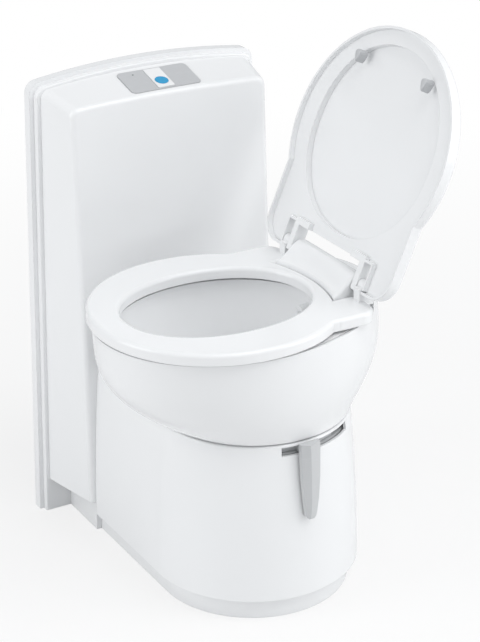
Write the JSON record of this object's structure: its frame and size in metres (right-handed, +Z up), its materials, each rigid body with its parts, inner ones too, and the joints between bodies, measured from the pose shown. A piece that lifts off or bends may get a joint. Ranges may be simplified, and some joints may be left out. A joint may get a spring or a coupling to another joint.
{
  "type": "chemical toilet",
  "caption": "Cassette toilet with a turning bowl on a half round pedestal, a tall wall console, a hinged seat and lid, and a waste tank that pulls out behind.",
  "frame": {"origin": "on the floor, at the centre of the four floor screws and on the axis that the bowl turns about", "axes": "+X to the right along the console, +Y from the bowl to the wall, +Z up"},
  "size_m": [0.5458, 0.575, 0.8486],
  "materials": {
    "white_gloss": "glossy white moulded plastic",
    "grey_satin": "satin light grey plastic",
    "lever_grey": "satin mid grey plastic",
    "button_blue": "glossy blue inlay",
    "lamp_clear": "clear tinted light pipe",
    "tank_grey": "textured mid grey tank plastic",
    "tank_dark": "black moulded plastic",
    "seal_rubber": "soft black rubber",
    "hose_rubber": "smooth rubber hose",
    "board_green": "coated circuit board",
    "steel": "brushed stainless steel"
  },
  "bodies": {
    "base": {"pedestal_shell": "white_gloss", "base_plinth": "white_gloss", "console_casing": "white_gloss", "console_plinth": "white_gloss", "rear_flange": "white_gloss", "control_panel": "grey_satin", "level_lamp": "lamp_clear", "control_board": "board_green", "flush_valve": "grey_satin", "water_inlet": "tank_dark", "water_union": "tank_dark", "flush_hose": "hose_rubber", "swivel_ring": "white_gloss", "lever_track": "lever_grey", "tank_rails": "tank_grey"},
    "button": {"flush_button": "white_gloss", "button_disc": "button_blue"},
    "bowl": {"bowl_shell": "white_gloss", "bowl_basin": "white_gloss", "bowl_retainer": "lever_grey", "flush_nozzle": "white_gloss", "hinge_block": "white_gloss", "hinge_bolts": "steel", "hinge_pins": "steel"},
    "seat": {"seat_ring": "white_gloss", "seat_bumpers": "seal_rubber"},
    "lid": {"lid_shell": "white_gloss", "lid_bumpers": "seal_rubber"},
    "lever": {"valve_lever": "lever_grey", "lever_sector": "lever_grey"},
    "tank": {"waste_tank": "tank_grey", "blade_housing": "tank_dark", "lip_seal": "seal_rubber", "cover_guides": "grey_satin", "wheel_axles": "steel", "spout_collar": "tank_dark", "float_bracket": "tank_dark"},
    "blade": {"valve_blade": "tank_dark", "blade_shaft": "tank_dark", "blade_pinion": "lever_grey"},
    "cover": {"sliding_cover": "tank_grey"},
    "spout": {"pour_spout": "tank_dark"},
    "cap": {"spout_cap": "tank_dark"},
    "plunger": {"vent_plunger": "tank_dark"},
    "float": {"level_float": "tank_dark"},
    "handle": {"tank_handle": "tank_dark", "handle_pins": "steel"},
    "wheel_l": {"wheel_left": "grey_satin"},
    "wheel_r": {"wheel_right": "grey_satin"}
  },
  "joints": [
    {"name": "bowl_swivel", "type": "hinge", "parent": "base", "child": "bowl", "pos_m": [0, 0, 0.295], "axis": [0, 0, 1], "range_deg": [-35, 12]},
    {"name": "lid_hinge", "type": "hinge", "parent": "bowl", "child": "lid", "pos_m": [0.134, 0, 0.5], "axis": [0, 1, 0], "range_deg": [-113, 0]},
    {"name": "seat_hinge", "type": "hinge", "parent": "bowl", "child": "seat", "pos_m": [0.134, 0, 0.5], "axis": [0, 1, 0], "range_deg": [0, 108]},
    {"name": "flush_press", "type": "slide", "parent": "base", "child": "button", "axis": [0, 0.2454, -0.9694], "range_m": [0, 0.002], "stiffness_N_per_m": 600, "springref_m": -0.002},
    {"name": "lever_turn", "type": "hinge", "parent": "base", "child": "lever", "pos_m": [0, 0, 0.28], "axis": [0, 0, 1], "range_deg": [0, 28]},
    {"name": "tank_slide", "type": "slide", "parent": "base", "child": "tank", "axis": [0, 1, 0], "range_m": [0, 0.42]},
    {"name": "blade_turn", "type": "hinge", "parent": "tank", "child": "blade", "pos_m": [0, -0.062, 0.214], "axis": [0, 0, 1], "range_deg": [0, 86]},
    {"name": "cover_slide", "type": "slide", "parent": "tank", "child": "cover", "axis": [0, -1, 0], "range_m": [0, 0.104]},
    {"name": "spout_swing", "type": "hinge", "parent": "tank", "child": "spout", "pos_m": [-0.085, 0.275, 0.166], "axis": [0, 0, 1], "range_deg": [0, 90]},
    {"name": "cap_turn", "type": "hinge", "parent": "spout", "child": "cap", "pos_m": [0.058, 0.275, 0.194], "axis": [1, 0, 0], "range_deg": [0, 120]},
    {"name": "vent_press", "type": "slide", "parent": "tank", "child": "plunger", "axis": [0, 0, -1], "range_m": [0, 0.006], "stiffness_N_per_m": 300, "springref_m": -0.005},
    {"name": "float_swing", "type": "hinge", "parent": "tank", "child": "float", "pos_m": [0.052, 0.03, 0.19], "axis": [1, 0, 0], "range_deg": [0, 80]},
    {"name": "handle_swing", "type": "hinge", "parent": "tank", "child": "handle", "pos_m": [0, 0.323, 0.1], "axis": [1, 0, 0], "range_deg": [0, 90]},
    {"name": "wheel_left_spin", "type": "hinge", "parent": "tank", "child": "wheel_l", "pos_m": [-0.113, -0.05, 0.0346], "axis": [1, 0, 0], "continuous": true},
    {"name": "wheel_right_spin", "type": "hinge", "parent": "tank", "child": "wheel_r", "pos_m": [0.113, -0.05, 0.0346], "axis": [1, 0, 0], "continuous": true}
  ],
  "couplings": [
    {"joint": "blade_turn", "follows": "lever_turn", "ratio": 3.05}
  ]
}
